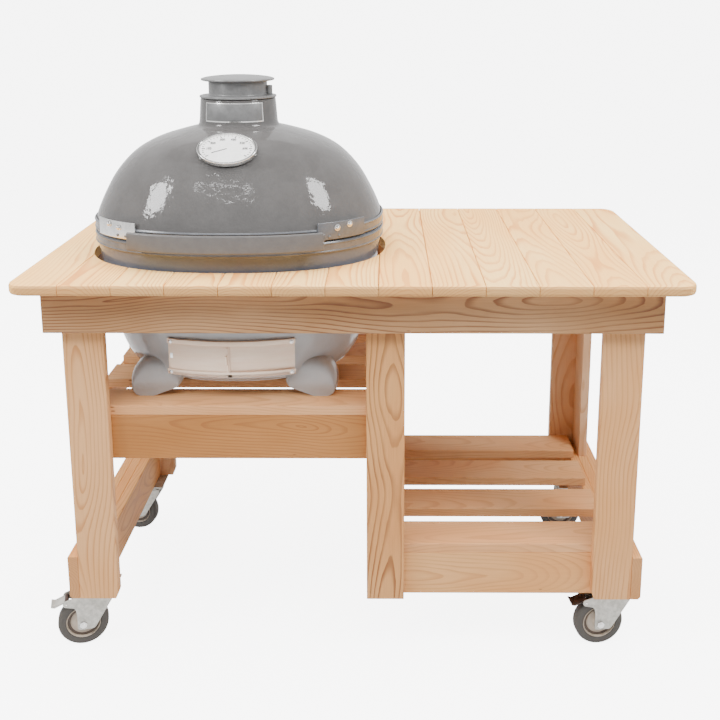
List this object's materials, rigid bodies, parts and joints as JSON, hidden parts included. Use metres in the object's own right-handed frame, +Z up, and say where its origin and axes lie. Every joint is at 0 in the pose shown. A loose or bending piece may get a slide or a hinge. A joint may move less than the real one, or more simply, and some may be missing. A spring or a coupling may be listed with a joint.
{
  "type": "kamado grill table",
  "caption": "Rolling softwood table with a plank top, an oval cut-out holding a lidded ceramic grill on its own shelf, a low slatted shelf and swivel casters.",
  "frame": {"origin": "on the floor under the middle of the table top", "axes": "+X along the table to the right, away from the grill; +Y to the back; +Z up"},
  "size_m": [1.56, 0.88, 1.4337],
  "materials": {
    "cypress": "sanded softwood, unsealed satin",
    "galvanised_steel": "zinc plated",
    "caster_tyre": "grey rubber tyre on a pale rim",
    "grill_glaze": "glossy grey glaze",
    "grill_band": "satin grey band",
    "draft_steel": "brushed stainless",
    "grill_iron": "coated cast iron",
    "dial": "white dial in a polished bezel"
  },
  "bodies": {
    "table": {"top_board_01": "cypress", "top_board_08": "cypress", "top_board_09": "cypress", "top_board_10": "cypress", "top_board_11": "cypress", "top_board_12": "cypress", "top_board_13": "cypress", "top_front_section": "cypress", "top_back_section": "cypress", "front_apron": "cypress", "back_apron": "cypress", "left_apron": "cypress", "right_apron": "cypress", "leg_front_left": "cypress", "leg_front_right": "cypress", "leg_back_left": "cypress", "leg_back_right": "cypress", "centre_post_front": "cypress", "centre_post_back": "cypress", "side_rail_left": "cypress", "side_rail_right": "cypress", "grill_shelf_front_beam": "cypress", "grill_shelf_back_beam": "cypress", "grill_shelf_left_cleat": "cypress", "grill_shelf_centre_rail": "cypress", "grill_shelf_slat_1": "cypress", "grill_shelf_slat_2": "cypress", "grill_shelf_slat_3": "cypress", "grill_shelf_slat_4": "cypress", "low_shelf_front_rail": "cypress", "low_shelf_back_rail": "cypress", "low_shelf_centre_rail": "cypress", "low_shelf_slat_1": "cypress", "low_shelf_slat_2": "cypress", "low_shelf_slat_3": "cypress", "low_shelf_slat_4": "cypress", "caster_plate_front_left": "galvanised_steel", "caster_plate_front_right": "galvanised_steel", "caster_plate_back_left": "galvanised_steel", "caster_plate_back_right": "galvanised_steel"},
    "fork_front_left": {"caster_fork_front_left": "galvanised_steel"},
    "wheel_front_left": {"caster_wheel_front_left": "caster_tyre"},
    "brake_front_left": {"caster_brake_front_left": "galvanised_steel"},
    "fork_front_right": {"caster_fork_front_right": "galvanised_steel"},
    "wheel_front_right": {"caster_wheel_front_right": "caster_tyre"},
    "brake_front_right": {"caster_brake_front_right": "galvanised_steel"},
    "fork_back_left": {"caster_fork_back_left": "galvanised_steel"},
    "wheel_back_left": {"caster_wheel_back_left": "caster_tyre"},
    "fork_back_right": {"caster_fork_back_right": "galvanised_steel"},
    "wheel_back_right": {"caster_wheel_back_right": "caster_tyre"},
    "grill": {"grill_bowl": "grill_glaze", "grill_bowl_band": "grill_band", "grill_cooking_grate": "grill_iron", "grill_draft_frame": "draft_steel"},
    "grill_lid": {"grill_lid": "grill_glaze", "grill_lid_band": "grill_band", "grill_thermometer": "dial", "grill_vent_body": "grill_iron"},
    "vent_cap": {"grill_vent_cap": "grill_iron"},
    "draft_door": {"grill_draft_door": "draft_steel"}
  },
  "joints": [
    {"name": "swivel_front_left", "type": "hinge", "parent": "table", "child": "fork_front_left", "pos_m": [-0.66, -0.29, 0.14], "axis": [0, 0, 1], "continuous": true},
    {"name": "roll_front_left", "type": "hinge", "parent": "fork_front_left", "child": "wheel_front_left", "pos_m": [-0.69845, -0.30102, 0.0625], "axis": [-0.2756, 0.9613, 0], "continuous": true},
    {"name": "brake_pedal_front_left", "type": "hinge", "parent": "fork_front_left", "child": "brake_front_left", "pos_m": [-0.73498, -0.3115, 0.124], "axis": [0.2756, -0.9613, 0], "range_deg": [0, 12]},
    {"name": "swivel_front_right", "type": "hinge", "parent": "table", "child": "fork_front_right", "pos_m": [0.66, -0.29, 0.14], "axis": [0, 0, 1], "continuous": true},
    {"name": "roll_front_right", "type": "hinge", "parent": "fork_front_right", "child": "wheel_front_right", "pos_m": [0.6203, -0.29487, 0.0625], "axis": [-0.1219, 0.9925, 0], "continuous": true},
    {"name": "brake_pedal_front_right", "type": "hinge", "parent": "fork_front_right", "child": "brake_front_right", "pos_m": [0.58258, -0.29951, 0.124], "axis": [0.1219, -0.9925, 0], "range_deg": [0, 12]},
    {"name": "swivel_back_left", "type": "hinge", "parent": "table", "child": "fork_back_left", "pos_m": [-0.66, 0.26, 0.14], "axis": [0, 0, 1], "continuous": true},
    {"name": "roll_back_left", "type": "hinge", "parent": "fork_back_left", "child": "wheel_back_left", "pos_m": [-0.69951, 0.26626, 0.0625], "axis": [0.1564, 0.9877, 0], "continuous": true},
    {"name": "swivel_back_right", "type": "hinge", "parent": "table", "child": "fork_back_right", "pos_m": [0.66, 0.26, 0.14], "axis": [0, 0, 1], "continuous": true},
    {"name": "roll_back_right", "type": "hinge", "parent": "fork_back_right", "child": "wheel_back_right", "pos_m": [0.62015, 0.25651, 0.0625], "axis": [-0.0872, 0.9962, 0], "continuous": true},
    {"name": "grill_lift_out", "type": "slide", "parent": "table", "child": "grill", "axis": [0, 0, 1], "range_m": [0, 0.36]},
    {"name": "lid_hinge", "type": "hinge", "parent": "grill", "child": "grill_lid", "pos_m": [-0.3, 0.26611, 1.055], "axis": [-1, 0, 0], "range_deg": [0, 70]},
    {"name": "vent_cap_swing", "type": "hinge", "parent": "grill_lid", "child": "vent_cap", "pos_m": [-0.2305, -0.05, 1.42], "axis": [0, 0, 1], "range_deg": [0, 110]},
    {"name": "draft_door_slide", "type": "hinge", "parent": "grill", "child": "draft_door", "pos_m": [-0.3, 0.13596, 0.767], "axis": [0, 0, 1], "range_deg": [0, 20]}
  ]
}
